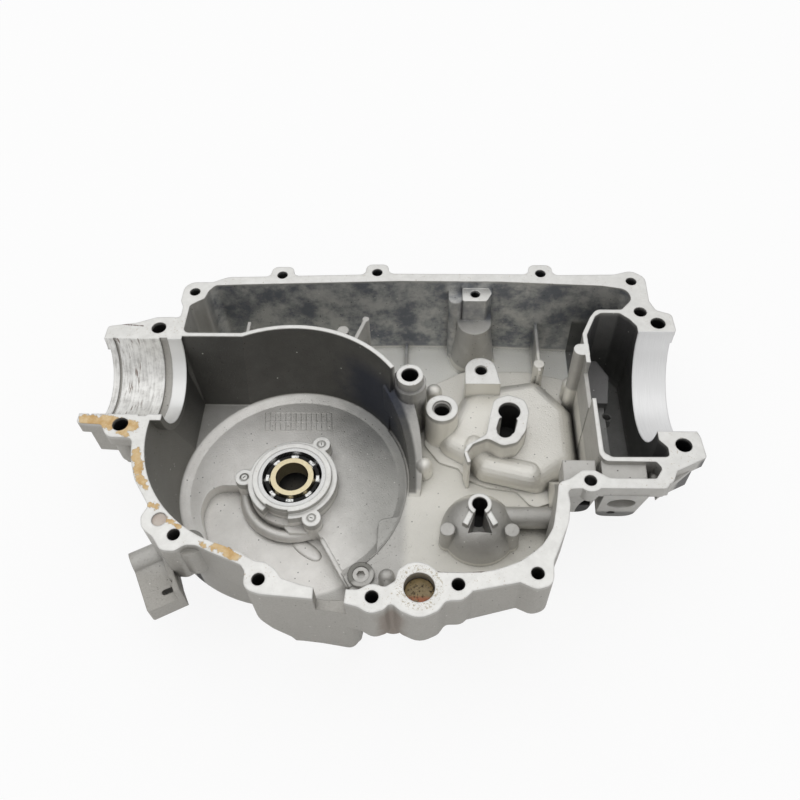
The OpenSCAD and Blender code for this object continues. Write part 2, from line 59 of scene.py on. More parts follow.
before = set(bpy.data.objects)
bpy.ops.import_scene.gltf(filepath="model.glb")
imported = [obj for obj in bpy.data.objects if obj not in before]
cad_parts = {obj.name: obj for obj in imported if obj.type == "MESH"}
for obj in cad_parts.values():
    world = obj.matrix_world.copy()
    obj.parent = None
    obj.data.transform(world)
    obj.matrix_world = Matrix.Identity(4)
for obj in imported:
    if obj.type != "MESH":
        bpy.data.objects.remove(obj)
CAD_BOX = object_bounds()

MM = 0.001
BODY = "cover"
WHITE = (1.0, 1.0, 1.0)

# Heights and radii of the casting.
JOINT_Z = 72.5
SHAFT_Y = 46.6
LEFT_SEAT_R = 35.5
RIGHT_SEAT_R = 45.5
EAR_DEPTH = 68.6
LEDGE_DEPTH = 76.0
DISC_DEPTH = 81.0
BACK_DEPTH = 83.0
LOW_DEPTH = 92.0

# Places in plan.
HUB = (0.0, 0.0)
EAR_R = 37.8
EAR_ANGLES = (59.0, 178.5, 298.0)
BIG_POST = (90.0, 59.2)
RING_POST = (114.6, 48.1)
LUG_HOLE = (146.2, 89.9)
TOWER_HOLE = (140.9, 138.6)
BOX_HOLE = (241.6, 46.0)
KEYHOLE_TOP = (166.4, 45.8)
KEYHOLE_FOOT = (162.1, 27.2)
CLIP_HOLE = (142.0, -31.5)
CLIP_MIDDLE = (142.0, -38.0)
OIL_HOLE = (100.2, -116.3)
SUNK_ROUND = (-70.2, -72.6)
CORNER_HOLE = (267.0, 112.6)
BOLT_HOLES = (
    (-84.4, 132.3), (-15.9, 151.6), (61.4, 154.8), (193.3, 154.1),
    (264.5, 145.5), (212.5, -39.0), (-58.4, -83.5), (0.5, -113.0),
    (71.4, -123.0), (124.1, -113.9), (173.0, -105.7),
)
LARGE_HOLES = ((-105.7, 93.6), (-114.1, 2.3), (278.7, 101.0), (278.5, -10.2))

# Flat machined pads away from the joint face: place, radius, depth.
PADS = (
    ((141.5, 138.0), 12.5, 8.0),
    (BIG_POST, 10.6, 13.0),
    (RING_POST, 12.6, 40.0),
    ((146.2, 89.0), 20.0, 45.0),
    (HUB, 46.0, EAR_DEPTH),
    (HUB, 31.0, 64.6),
    (CLIP_MIDDLE, 18.0, 47.0),
    (CLIP_MIDDLE, 18.0, 49.0),
)

# Bores painted black below a depth, as painted shade deep in them: place, radius, edge, depth where the
# black starts, how fast.
BLACK_BORES = (
    (HUB, 24.0, 0.4, 66.0, 1.5),
    (BIG_POST, 6.9, 0.2, 15.0, 1.5),
    (RING_POST, 6.5, 0.2, 46.0, 2.0),
    (LUG_HOLE, 5.2, 0.2, 46.5, 1.5),
    (TOWER_HOLE, 4.1, 0.2, 9.5, 1.5),
    (KEYHOLE_TOP, 8.6, 0.2, 43.0, 2.5),
    (KEYHOLE_FOOT, 6.2, 0.2, 45.0, 3.0),
    (CLIP_HOLE, 5.8, 0.2, 48.5, 1.5),
)
KEYHOLE_BOTTOM = 68.0

# Sealant left on the joint face: bars from one point to the other, with half widths.
SEALANT = (
    (-140.0, 6.0, -122.0, 2.0, 5.0),
    (-128.0, 6.5, -104.0, 0.0, 4.6),
    (-112.0, -4.0, -108.0, -6.0, 3.0),
    (-97.6, -21.0, -92.0, -36.0, 3.4),
    (-90.0, -41.0, -84.0, -50.0, 2.6),
    (-78.0, -62.0, -74.0, -64.0, 2.0),
    (-66.0, -72.0, -56.0, -78.0, 1.8),
    (-41.0, -88.0, -37.0, -91.0, 1.5),
    (-31.0, -91.5, -16.0, -98.0, 3.1),
)

# Parts of the casting that share a tone, each as a range with its soft edge
# in X, in Y and in depth; FAR leaves a side open and ANY the whole axis.
FAR = 10000.0
ANY = None
ZONES = {
    "joint_face": (ANY, ANY, (-FAR, 0.3, 0.1)),
    "keyhole_rim": ((130.0, 186.0, 0.5), (-4.0, 64.0, 0.5), (39.75, 40.25, 0.08)),
    "back_floor": (ANY, (58.0, FAR, 2.0), (80.0, FAR, 1.2)),
    "front_floor": ((88.0, FAR, 5.0), ANY, (74.5, 79.5, 1.0)),
    "raised_cover": ((100.0, 221.0, 2.0), (-22.0, 112.0, 3.0), (44.0, 77.0, 2.0)),
    "chamber_corner": ((-97.0, -30.0, 2.0), (0.0, 88.0, 1.0), ANY),
    "chamber_height": (ANY, ANY, (0.8, 76.2, 0.8)),
    "back_wall": (ANY, (130.0, FAR, 6.0), (1.5, 80.0, 1.5)),
    "right_box": ((223.4, FAR, 0.4), (-22.0, 112.0, 1.0), (2.0, 62.0, 3.0)),
    "right_box_floor": ((223.4, FAR, 0.4), ANY, (44.0, FAR, 3.0)),
    "blotch_height": (ANY, ANY, (22.0, 76.0, 12.0)),
    "below_flange": (ANY, ANY, (3.0, FAR, 1.0)),
    "front_side": (ANY, (-FAR, -88.0, 8.0), ANY),
    "left_side": ((-FAR, -98.0, 4.0), ANY, ANY),
    "right_half": ((88.0, FAR, 6.0), ANY, ANY),
    "back_half": (ANY, (98.0, FAR, 3.0), ANY),
    "floor_height": (ANY, ANY, (74.0, FAR, 1.5)),
    "rusty_seat": ((-141.0, -118.0, 5.0), ANY, ANY),
    "seat_land": ((-96.5, FAR, 0.3), ANY, ANY),
    "bolt_depth": (ANY, ANY, (2.5, FAR, 1.8)),
    "sunk_floor": (ANY, ANY, (0.9, 1.6, 0.2)),
    "tinted_wall": (ANY, ANY, (8.0, FAR, 5.0)),
}

# Pairs of colours between which a cloudy finish varies, the darker one first.
TONES = {
    "plain_cast": ((0.42, 0.41, 0.385), (0.62, 0.61, 0.585)),
    "back_floor": ((0.96, 0.95, 0.89), (1.0, 1.0, 0.96)),
    "raised_cover": ((0.88, 0.86, 0.79), (1.0, 0.98, 0.93)),
    "warm_floor": ((0.72, 0.70, 0.665), (0.98, 0.965, 0.935)),
    "shaded_disc_floor": ((0.34, 0.335, 0.315), (0.52, 0.515, 0.49)),
    "shaded_olive_wall": ((0.15, 0.147, 0.13), (0.25, 0.245, 0.225)),
    "shaded_dark_wall": ((0.045, 0.045, 0.04), (0.085, 0.083, 0.077)),
    "blue_reflection_wall": ((0.17, 0.185, 0.215), (0.60, 0.60, 0.58)),
    "box_floor": ((0.13, 0.13, 0.125), (0.26, 0.26, 0.25)),
    "outer_skin": ((0.30, 0.285, 0.255), (0.52, 0.505, 0.475)),
    "joint_face": ((0.62, 0.615, 0.59), (0.90, 0.895, 0.87)),
    "left_seat": ((0.46, 0.45, 0.43), (0.86, 0.855, 0.83)),
    "right_seat": ((0.72, 0.72, 0.72), (0.92, 0.92, 0.92)),
    "sunk_round": ((0.42, 0.30, 0.24), (0.70, 0.66, 0.60)),
    "varnish": ((0.10, 0.075, 0.03), (0.42, 0.31, 0.15)),
}
FRONT_FLOOR = (0.86, 0.84, 0.77)
BOX_WALL_SHADE = (0.075, 0.075, 0.08)
SHADE_BLUE_BLACK = (0.035, 0.042, 0.065)
DIRT_AND_SHADE = (0.05, 0.045, 0.04)
PALE_DOT = (0.85, 0.84, 0.80)
FRECKLE = (0.42, 0.34, 0.24)
RUST = (0.13, 0.075, 0.05)
SEAT_LAND = (0.80, 0.80, 0.79)
DIRT_AND_SHADOW_LINE = (0.10, 0.055, 0.045)
CRUMB = (0.33, 0.27, 0.16)
BROWN_TINT = (0.16, 0.09, 0.05)
HOLE_SHADE_BLACK = (0.012, 0.012, 0.013)
CAGE_GAP_SHADE = (0.02, 0.02, 0.02)
BALL_GLINT = (0.80, 0.80, 0.78)
VARNISH_RED = (0.42, 0.10, 0.03)
VARNISH_FLAKE = (0.03, 0.02, 0.015)


class Sock:
    """A shader value that takes part in Python sums; each sum adds a Math node."""

    def __init__(self, graph, socket):
        self.graph = graph
        self.socket = socket

    def __add__(self, other):
        return self.graph.math("ADD", self, other)

    def __radd__(self, other):
        return self.graph.math("ADD", other, self)

    def __sub__(self, other):
        return self.graph.math("SUBTRACT", self, other)

    def __rsub__(self, other):
        return self.graph.math("SUBTRACT", other, self)

    def __mul__(self, other):
        return self.graph.math("MULTIPLY", self, other)

    def __rmul__(self, other):
        return self.graph.math("MULTIPLY", other, self)

    def __pow__(self, other):
        return self.graph.math("POWER", self, other)


class Graph:
    """Emptied node tree of a material or world, with one method for all its nodes."""

    def __init__(self, owner, output):
        owner.use_nodes = True
        self.owner = owner
        self.tree = owner.node_tree
        self.tree.nodes.clear()
        self.output = self.tree.nodes.new(output)

    def node(self, kind, settings=None, inputs=None, out=0):
        """Adds a node: its settings first, then the values or links of its sockets."""
        made = self.tree.nodes.new(kind)
        for key, value in (settings or {}).items():
            setattr(made, key, value)
        for key, value in (inputs or {}).items():
            self.feed(made.inputs[key], value)
        return Sock(self, made.outputs[out])

    def feed(self, socket, value):
        """Links a shader value into a socket, or sets a number or colour there."""
        if isinstance(value, Sock):
            self.tree.links.new(value.socket, socket)
        elif socket.type == "RGBA":
            socket.default_value = (*value, 1.0)
        else:
            socket.default_value = value

    def math(self, operation, a, b=0.0):
        return self.node("ShaderNodeMath", {"operation": operation}, {0: a, 1: b})

    def surface(self, shader):
        """Takes a shader to the output and returns the material or world."""
        self.feed(self.output.inputs["Surface"], shader)
        return self.owner


class Finish(Graph):
    """Node tree of one material, with the object's own millimetres as its space."""

    def __init__(self, name):
        super().__init__(bpy.data.materials.new(name), "ShaderNodeOutputMaterial")
        coords = self.node("ShaderNodeTexCoord", out="Object")
        self.pos = self.node("ShaderNodeVectorMath", {"operation": "SCALE"}, {0: coords, "Scale": 1000.0})
        self.x, self.y, self.z = (
            self.node("ShaderNodeSeparateXYZ", {}, {0: self.pos}, out=axis) for axis in "XYZ"
        )
        self.depth = JOINT_Z - self.z
        self.away = (self.x * self.x + self.y * self.y) ** 0.5

    def least(self, a, b):
        return self.math("MINIMUM", a, b)

    def most(self, a, b):
        return self.math("MAXIMUM", a, b)

    def any_of(self, masks):
        """Largest of several masks."""
        total = masks[0]
        for mask in masks[1:]:
            total = self.most(total, mask)
        return total

    def mix(self, share, a, b):
        """Colour a where share is 0 and colour b where it is 1."""
        return self.node("ShaderNodeMix", {"data_type": "RGBA"}, {0: share, 6: a, 7: b}, out=2)

    def tone(self, name, share):
        """Named pair of colours, mixed by a share."""
        return self.mix(share, *TONES[name])

    def above(self, value, edge, soft):
        """0 below edge and 1 above it, easing over plus and minus soft."""
        return self.node(
            "ShaderNodeMapRange",
            {"interpolation_type": "SMOOTHSTEP"},
            {"Value": value, "From Min": edge - soft, "From Max": edge + soft},
        )

    def below(self, value, edge, soft):
        return 1.0 - self.above(value, edge, soft)

    def band(self, value, low, high, soft):
        """1 between low and high and 0 outside them; a side at FAR is left open."""
        if high == FAR:
            return self.above(value, low, soft)
        if low == -FAR:
            return self.below(value, high, soft)
        return self.above(value, low, soft) * self.below(value, high, soft)

    def zone(self, name):
        """1 in a named part of the casting."""
        ranges = zip((self.x, self.y, self.depth), ZONES[name])
        bands = [self.band(value, *limits) for value, limits in ranges if limits is not ANY]
        total = bands[0]
        for made in bands[1:]:
            total = total * made
        return total

    def noise(self, size, detail=4.0, rough=0.55, offset=(0, 0, 0)):
        """Cloudy noise from 0 to 1 whose blotches are about size millimetres wide."""
        place = self.node("ShaderNodeVectorMath", {"operation": "ADD"}, {0: self.pos, 1: offset})
        return self.node(
            "ShaderNodeTexNoise",
            {},
            {"Vector": place, "Scale": 1.0 / size, "Detail": detail, "Roughness": rough},
        )

    def streaks(self, stretch, size, detail, offset):
        """Noise drawn out along the axes by the factors in stretch."""
        scale = tuple(1.0 / (factor * size) for factor in stretch)
        place = self.node("ShaderNodeMapping", {}, {"Vector": self.pos, "Scale": scale, "Location": offset})
        return self.node("ShaderNodeTexNoise", {}, {"Vector": place, "Scale": 1.0, "Detail": detail})

    def dots(self, spacing, radius, soft, offset):
        """Scattered dots; radius and soft are shares of their spacing."""
        place = self.node("ShaderNodeVectorMath", {"operation": "ADD"}, {0: self.pos, 1: offset})
        cells = self.node("ShaderNodeTexVoronoi", {}, {"Vector": place, "Scale": 1.0 / spacing})
        return self.below(cells, radius, soft)

    def disc(self, place, radius, soft=0.3, wobble=None):
        """1 inside a circle in plan, with an edge that wobbles with a given value."""
        dx = self.x - place[0]
        dy = self.y - place[1]
        away = (dx * dx + dy * dy) ** 0.5
        if wobble is not None:
            away = away + wobble
        return self.below(away, radius, soft)

    def bar(self, x0, y0, x1, y1, half, soft, wobble):
        """1 inside a round-ended bar in plan, with an edge that wobbles with a given value."""
        length = math.hypot(x1 - x0, y1 - y0)
        ux = (x1 - x0) / length
        uy = (y1 - y0) / length
        along = (self.x - x0) * ux + (self.y - y0) * uy
        across = (self.y - y0) * ux - (self.x - x0) * uy
        past = along - self.least(self.most(along, 0.0), length)
        away = (past * past + across * across) ** 0.5
        return self.below(away + wobble, half, soft)

    def soft_edges(self, radius):
        """Surface normal rounded over edges and inner corners, as a casting has them."""
        return self.node("ShaderNodeBevel", {"samples": 4}, {"Radius": radius * MM})

    def bump(self, height, strength, distance, normal=None):
        """Normal raised by a height from 0 to 1, times distance in millimetres."""
        inputs = {"Height": height, "Strength": strength, "Distance": distance * MM}
        if normal is not None:
            inputs["Normal"] = normal
        return self.node("ShaderNodeBump", {}, inputs)

    def finish(self, **inputs):
        """Principled surface with the given sockets, into the output."""
        named = {key.replace("_", " "): value for key, value in inputs.items()}
        return self.surface(self.node("ShaderNodeBsdfPrincipled", {}, named))


def seat_masks(g):
    """Left and right half-round seats, found by their distance from the shaft axis."""
    dy = g.y - SHAFT_Y
    dz = g.z - JOINT_Z
    away = (dy * dy + dz * dz) ** 0.5
    left = g.below(away, LEFT_SEAT_R + 0.4, 0.1) * g.band(g.x, -147.0, -85.0, 0.2)
    right = g.below(away, RIGHT_SEAT_R + 0.4, 0.1) * g.band(g.x, 261.0, 290.0, 0.2)
    return left, right


def machined_mask(g, seats):
    """Joint face, pads, keyhole rim, split post rim and both half-round seats."""
    masks = [g.above(g.z, JOINT_Z - 0.25, 0.08)]
    for place, radius, depth in PADS:
        masks.append(g.band(g.depth, depth - 0.25, depth + 0.25, 0.08) * g.disc(place, radius))
    return g.any_of([*masks, g.zone("keyhole_rim"), *seats])


def dark_places(g):
    """1 inside bolt holes, under the bearing and in the other deep bores, where painted shade turns them
    black.
    """
    rings = [g.disc(place, 4.3, 0.15) for place in BOLT_HOLES]
    rings += [g.disc(place, 5.8, 0.15) for place in LARGE_HOLES]
    rings.append(g.disc(CORNER_HOLE, 5.1, 0.15))
    masks = [g.any_of(rings) * g.zone("bolt_depth")]
    for place, radius, soft, depth, ease in BLACK_BORES:
        mask = g.disc(place, radius, soft) * g.above(g.depth, depth, ease)
        if place is KEYHOLE_FOOT:
            mask = mask * g.below(g.depth, KEYHOLE_BOTTOM, 0.5)
        masks.append(mask)
    return g.any_of(masks)


def cast_colour(g, wide, middle, fine):
    """Grey skin of the casting, from pale floors to walls darkened with painted shade and painted
    reflection.
    """
    grey = g.tone("plain_cast", middle)
    grey = g.mix(g.zone("back_floor") * 0.97, grey, g.tone("back_floor", middle))
    grey = g.mix(g.zone("front_floor") * (0.55 + 0.4 * wide), grey, FRONT_FLOOR)
    grey = g.mix(g.zone("raised_cover") * 0.8, grey, g.tone("raised_cover", wide))

    chamber_floor = g.below(g.away, 88.0, 2.0) * g.above(g.depth, 75.0, 1.0)
    # Painted reflection: the floor disc turns darker towards its right, where it mirrors the dark walls.
    shade = g.above(g.x + 0.25 * g.y + (wide - 0.5) * 50.0, 34.0, 38.0)
    disc = g.mix(shade, g.tone("warm_floor", middle), g.tone("shaded_disc_floor", middle))
    grey = g.mix(chamber_floor, grey, disc)

    # Painted shade: the chamber's walls are dark, and darker towards the back, where they face the camera
    # and mirror the dark room.
    ring = g.band(g.away, 84.0, 96.0, 1.5) * g.below(g.x, 96.0, 2.0)
    chamber_wall = g.most(ring, g.zone("chamber_corner")) * g.zone("chamber_height")
    back = g.above(g.y + 0.2 * g.x, 15.0, 40.0)
    wall = g.mix(back, g.tone("shaded_olive_wall", wide), g.tone("shaded_dark_wall", middle))
    grey = g.mix(chamber_wall * 0.88, grey, wall)

    # Painted reflection: the back wall is patched dark blue-grey where it mirrors the dark room in front of
    # it.
    reflection_patches = g.above(g.noise(24.0, 6.0, 0.7, (4, 60, 8)), 0.5, 0.14)
    grey = g.mix(g.zone("back_wall") * 0.9, grey, g.tone("blue_reflection_wall", reflection_patches))
    # Painted shade: the walls and floor of the deep box at the right are painted dark.
    grey = g.mix(g.zone("right_box") * 0.8, grey, BOX_WALL_SHADE)
    grey = g.mix(g.zone("right_box_floor"), grey, g.tone("box_floor", middle))
    # Painted shade: a blue-black patch on the drum's inner wall beside the big post, where that wall lies
    # in shadow.
    wall_shade_patch = g.disc((66.0, 66.0), 30.0, 16.0, (middle - 0.5) * 30.0) * g.zone("blotch_height")
    grey = g.mix(wall_shade_patch * 0.85, grey, SHADE_BLUE_BLACK)
    outside = g.most(g.zone("front_side"), g.zone("left_side")) * g.zone("below_flange")
    return g.mix(outside * 0.85, grey, g.tone("outer_skin", fine))


def cast_shade_and_dirt(g, grey, middle):
    """Painted shade and dirt in inner corners, taken from ambient occlusion, dark specks and pale dots on
    the cast skin.
    """
    open_share = g.node("ShaderNodeAmbientOcclusion", {"samples": 4}, {"Distance": 9.0 * MM}, out="AO")
    # Painted shade: inner corners darkened where ambient occlusion finds them closed in.
    grey = g.mix(g.above(1.0 - open_share, 0.62, 0.3) * 0.7, grey, DIRT_AND_SHADE)
    specks = g.dots(6.0, 0.085, 0.03, (3, 3, 3)) * g.above(middle, 0.46, 0.1)
    grey = g.mix(specks * 0.8, grey, DIRT_AND_SHADE)
    return g.mix(g.dots(11.0, 0.05, 0.02, (30, 3, 7)) * 0.7, grey, PALE_DOT)


def left_seat_colour(g):
    """Turned seat, mottled, with short rust marks and a clean land at its inner end."""
    worn = g.streaks((1.0, 8.0, 8.0), 1.6, 5.0, (3, 1, 5))
    mottle = g.noise(9.0, 6.0, 0.75, (12, 3, 9))
    tone = g.tone("left_seat", g.above(0.45 * worn + 0.55 * mottle, 0.46, 0.16))
    rust = g.above(g.streaks((0.6, 5.0, 5.0), 2.6, 4.0, (17, 11, 2)), 0.64, 0.05)
    tone = g.mix(rust * g.zone("rusty_seat") * 0.8, tone, RUST)
    return g.mix(g.zone("seat_land"), tone, SEAT_LAND)


def cut_colour(g, seats):
    """Bright cut metal: scuffed joint face and streaked half-round seats."""
    bright = g.tone("joint_face", g.noise(7.0, 5.0, 0.65, (9, 9, 9)))
    freckle = g.above(g.noise(1.6, 3.0, 0.7, (40, 2, 2)), 0.66, 0.05)
    patch = g.above(g.noise(30.0, 3.0, 0.6, (6, 6, 1)), 0.47, 0.08)
    bright = g.mix(freckle * patch * 0.75, bright, FRECKLE)
    left, right = seats
    bright = g.mix(left, bright, left_seat_colour(g))
    turned = g.tone("right_seat", g.streaks((0.12, 9.0, 9.0), 2.0, 3.0, (1, 2, 3)))
    return g.mix(right, bright, turned)


def stains_and_shadow_line_colour(g, colour, middle, fine):
    """Brown dirt lines inside the front flange, a painted shadow line under the flange's outer edge at the
    back left, the pinkish sunk round and the tint beside the half-round lug.
    """
    dirt_and_shadow_lines = g.any_of([
        g.bar(112.0, -105.6, 138.0, -105.4, 0.7, 0.4, (middle - 0.5) * 1.4),
        g.bar(138.0, -105.4, 163.0, -97.0, 0.8, 0.4, (middle - 0.5) * 1.4),
        # Painted shadow: this line stands for the shadow along the flange's outer edge.
        g.bar(-134.7, 96.8, -118.4, 95.4, 0.5, 0.3, (fine - 0.5) * 2.4),
    ])
    colour = g.mix(dirt_and_shadow_lines * 0.85, colour, DIRT_AND_SHADOW_LINE)
    pink = g.disc(SUNK_ROUND, 4.9, 0.4) * g.zone("sunk_floor")
    colour = g.mix(pink * 0.8, colour, g.tone("sunk_round", middle))
    tint = g.disc((83.0, -124.0), 11.0, 4.0, (middle - 0.5) * 9.0) * g.zone("tinted_wall")
    return g.mix(tint * 0.45, colour, BROWN_TINT)


def sealant_mask(g):
    """1 on the ragged bars of sealant, on the joint face alone."""
    wobble = (g.noise(6.0, 7.0, 0.75, (70, 1, 1)) - 0.47) * 13.0
    return g.any_of([g.bar(*ends, 0.25, wobble) for ends in SEALANT]) * g.zone("joint_face")


def crumb_mask(g):
    """1 on the broken crust round the oil hole, between 10 and 14.7 mm from its middle."""
    dx = g.x - OIL_HOLE[0]
    dy = g.y - OIL_HOLE[1]
    crust = g.band(dx * dx + dy * dy, 100.0, 215.0, 20.0)
    broken = g.above(g.noise(1.9, 4.0, 0.75, (8, 1, 30)), 0.56, 0.04)
    return crust * broken * g.zone("joint_face")


def casting_material(settings):
    """Grey as-cast alloy with oil shadows, bright cut faces and golden sealant."""
    g = Finish("cast_alloy_finish")
    seats = seat_masks(g)
    cut = machined_mask(g, seats)
    sealant = sealant_mask(g)
    wide = g.noise(60.0, 5.0, 0.6)
    middle = g.noise(14.0, 6.0, 0.65, (31, 7, 3))
    fine = g.noise(1.3, 3.0, 0.6, (5, 50, 9))
    grain = g.noise(0.5, 2.0, 0.7, (2, 3, 90))

    grey = cast_shade_and_dirt(g, cast_colour(g, wide, middle, fine), middle)
    colour = g.mix(cut, grey, cut_colour(g, seats))
    colour = stains_and_shadow_line_colour(g, colour, middle, fine)
    cloud = g.above(g.noise(7.0, 5.0, 0.7), 0.5, 0.2)
    gold = g.mix(cloud, tuple(settings.sealant_dark), tuple(settings.sealant_light))
    colour = g.mix(sealant, colour, gold)
    colour = g.mix(crumb_mask(g) * 0.7, colour, CRUMB)
    # Painted shade: holes and bores go near black below the depth where the shade deepens.
    colour = g.mix(dark_places(g) * 0.93, colour, HOLE_SHADE_BLACK)

    pale = g.zone("floor_height") * g.most(g.zone("right_half"), g.zone("back_half"))
    pits = g.dots(2.4, 0.16, 0.1, (5, 8, 1)) * g.above(wide, 0.45, 0.1)
    skin = fine * 0.9 + grain * 0.4 - g.above(middle, 0.6, 0.2) * 0.3 - 0.8 * pits
    lift = skin * (1.0 - 0.8 * cut) + 0.9 * sealant
    return g.finish(
        Base_Color=colour,
        Metallic=0.78 - 0.77 * sealant - 0.1 * cut - 0.62 * pale,
        Roughness=0.50 - 0.17 * cut + 0.12 * (fine - 0.5) + 0.25 * sealant,
        Normal=g.bump(lift, 0.6, 0.45, g.soft_edges(1.5)),
    )


def steel_material(name, dark, light, rough):
    """Ground steel with faint turning lines round the bearing axis."""
    g = Finish(name)
    lines = g.node("ShaderNodeTexNoise", {"noise_dimensions": "1D"}, {"W": g.away * 6.0, "Detail": 3.0})
    return g.finish(
        Base_Color=g.mix(g.noise(2.5, 3.0, 0.6), dark, light),
        Metallic=0.95,
        Roughness=rough + 0.12 * lines,
        Normal=g.bump(lines, 0.2, 0.05, g.soft_edges(0.4)),
    )


def cage_material():
    """Cage painted near black as the shade in the gap between the rings, with a painted highlight of a ball
    behind each of its pockets.
    """
    g = Finish("cage_steel")
    count = sum(name.startswith("ball_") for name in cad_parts)
    around = g.math("ARCTAN2", g.y, g.x)
    turn = g.math("COSINE", around * float(count))
    # Painted highlight: bright patches at the ball angles stand for the shining balls behind the pockets.
    ball = g.above(turn, 0.45, 0.2) * g.band(g.away, 18.3, 20.6, 0.15)
    glint = g.above(g.noise(1.2, 2.0, 0.5, (3, 9, 4)), 0.42, 0.1)
    colour = g.mix(ball * (0.35 + 0.65 * glint), CAGE_GAP_SHADE, BALL_GLINT)
    return g.finish(Base_Color=colour, Metallic=0.9, Roughness=0.34 - 0.14 * ball)


def varnish_material():
    """Dry amber oil skin with dark flakes and an orange-red lower part."""
    g = Finish("oil_varnish")
    cloud = g.noise(4.0, 5.0, 0.7, (8, 2, 5))
    red = g.below(g.y, OIL_HOLE[1] - 3.2, 1.6) * g.above(g.noise(3.0, 4.0, 0.6), 0.42, 0.08)
    colour = g.mix(red * 0.8, g.tone("varnish", cloud), VARNISH_RED)
    flakes = g.above(g.noise(2.1, 4.0, 0.75, (1, 30, 6)), 0.58, 0.03)
    return g.finish(
        Base_Color=g.mix(flakes * 0.9, colour, VARNISH_FLAKE),
        Roughness=0.25 + 0.5 * flakes,
        Metallic=0.0,
        Normal=g.bump(cloud + flakes, 0.5, 0.4),
    )


def floor_material(glow):
    """Matt white floor; the camera sees it brighter, so its shadow stays faint."""
    g = Finish("pale_floor")
    matt = g.node("ShaderNodeBsdfPrincipled", {}, {"Base Color": (0.9, 0.9, 0.9), "Roughness": 0.9})
    light = g.node("ShaderNodeEmission", {}, {"Color": WHITE, "Strength": 1.0})
    seen = g.node("ShaderNodeLightPath", out="Is Camera Ray")
    return g.surface(g.node("ShaderNodeMixShader", {}, {0: seen * glow, 1: matt, 2: light}))


def put_material(node, material):
    """Puts a material in every slot of a solid of the part."""
    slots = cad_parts[node].data.materials
    if len(slots) == 0:
        slots.append(material)
    for i in range(len(slots)):
        slots[i] = material


def grid_faces(rows, cols, closed_rows=False):
    """Four-sided faces between the points of a grid whose columns close up."""
    steps = rows if closed_rows else rows - 1
    i, j = np.meshgrid(np.arange(steps), np.arange(cols), indexing="ij")
    down, right = (i + 1) % rows, (j + 1) % cols
    quads = [i * cols + j, down * cols + j, down * cols + right, i * cols + right]
    return np.stack(quads, axis=-1).reshape(-1, 4)


def swell(centre, half, turn=0.0, square=1.0, rows=9, cols=16):
    """Closed superellipsoid for small raised marks.

    With u from pole to pole and v round it, a point is the centre plus
    (a cos(v)^k sin(u)^k, b sin(v)^k sin(u)^k, c cos(u)), each power keeping its
    sign, turned about Z. The power k is 1 for an ellipsoid and less for a block.
    """
    def signed(value):
        return np.sign(value) * np.abs(value) ** square

    u = np.linspace(0.0, math.pi, rows)[1:-1]
    v = np.linspace(0.0, 2.0 * math.pi, cols, endpoint=False)
    uu, vv = np.meshgrid(u, v, indexing="ij")
    x = half[0] * signed(np.cos(vv)) * signed(np.sin(uu))
    y = half[1] * signed(np.sin(vv)) * signed(np.sin(uu))
    side = np.stack([x, y, half[2] * np.cos(uu)], axis=-1).reshape(-1, 3)
    points = np.concatenate([side, [[0.0, 0.0, half[2]], [0.0, 0.0, -half[2]]]])
    cosine, sine = math.cos(turn), math.sin(turn)
    points = points @ np.array([[cosine, sine, 0.0], [-sine, cosine, 0.0], [0.0, 0.0, 1.0]])

    here = np.arange(cols)
    there = (here + 1) % cols
    top = np.full(cols, len(side))
    last = (rows - 3) * cols
    caps = [
        np.stack([top, here, there], axis=-1),
        np.stack([top + 1, last + there, last + here], axis=-1),
    ]
    faces = [*grid_faces(rows - 2, cols).tolist(), *np.concatenate(caps).tolist()]
    return points + np.array(centre), faces


def bar_shell(x0, y0, x1, y1, z, half, height):
    """Raised line on a floor at height z, from one point in plan to the other."""
    centre = ((x0 + x1) / 2, (y0 + y1) / 2, z)
    length = math.hypot(x1 - x0, y1 - y0) / 2
    return swell(centre, (length, half, height), math.atan2(y1 - y0, x1 - x0), 0.35)


def ring_shell(centre, radius, half, height, turns=1.0, rise=0.0, cols=72, rows=8):
    """Closed ring, or a thread when it rises.

    With u round the axis and v round the section, a point is
    ((R + a cos v) cos u, (R + a cos v) sin u, b sin v + rise u / 2 pi). A thread
    ends in two points where its section has shrunk to nothing.
    """
    closed = rise == 0.0
    count = cols if closed else int(cols * turns) + 1
    u = np.arange(count) * 2.0 * math.pi / cols
    v = np.linspace(0.0, 2.0 * math.pi, rows, endpoint=False)
    uu, vv = np.meshgrid(u, v, indexing="ij")
    share = np.ones_like(uu) if closed else np.minimum(1.0, 0.02 + np.minimum(uu, uu[::-1]) * 2.0)
    away = radius + half * share * np.cos(vv)
    climb = rise * uu / (2.0 * math.pi)
    z = height * share * np.sin(vv) + climb
    points = np.stack([away * np.cos(uu), away * np.sin(uu), z], axis=-1).reshape(-1, 3)
    faces = grid_faces(count, rows, closed).tolist()
    if not closed:
        first = np.arange(rows)
        faces += [first.tolist(), ((count - 1) * rows + first[::-1]).tolist()]
    return points + np.array(centre), faces


# Date grid on the floor disc: first line, width, back edge, height and lean of its lines.
GRID_X = -32.5
GRID_WIDTH = 55.5
GRID_COLUMNS = 13
GRID_BACK = 71.2
GRID_MIDDLE = 62.1
GRID_FRONT = 53.0
GRID_LEAN = 1.9
GRID_TILT = 0.3
GRID_DOT_ROWS = (66.8, 57.6)
GRID_DOT_COLUMNS = (1, 2, 4, 5, 6, 8, 9, 11, 12)
GRID_DOT_X = -30.2
LINE_HALF = 0.42
LINE_HEIGHT = 0.6

# Tapped holes with visible threads: place, radius, depth of the first turn, threaded length.
THREADS = (
    (TOWER_HOLE, 3.8, 9.0, 12.0),
    (LUG_HOLE, 4.9, 46.0, 12.0),
    (BOX_HOLE, 3.5, 47.0, 10.0),
)
THREAD_PITCH = 1.25


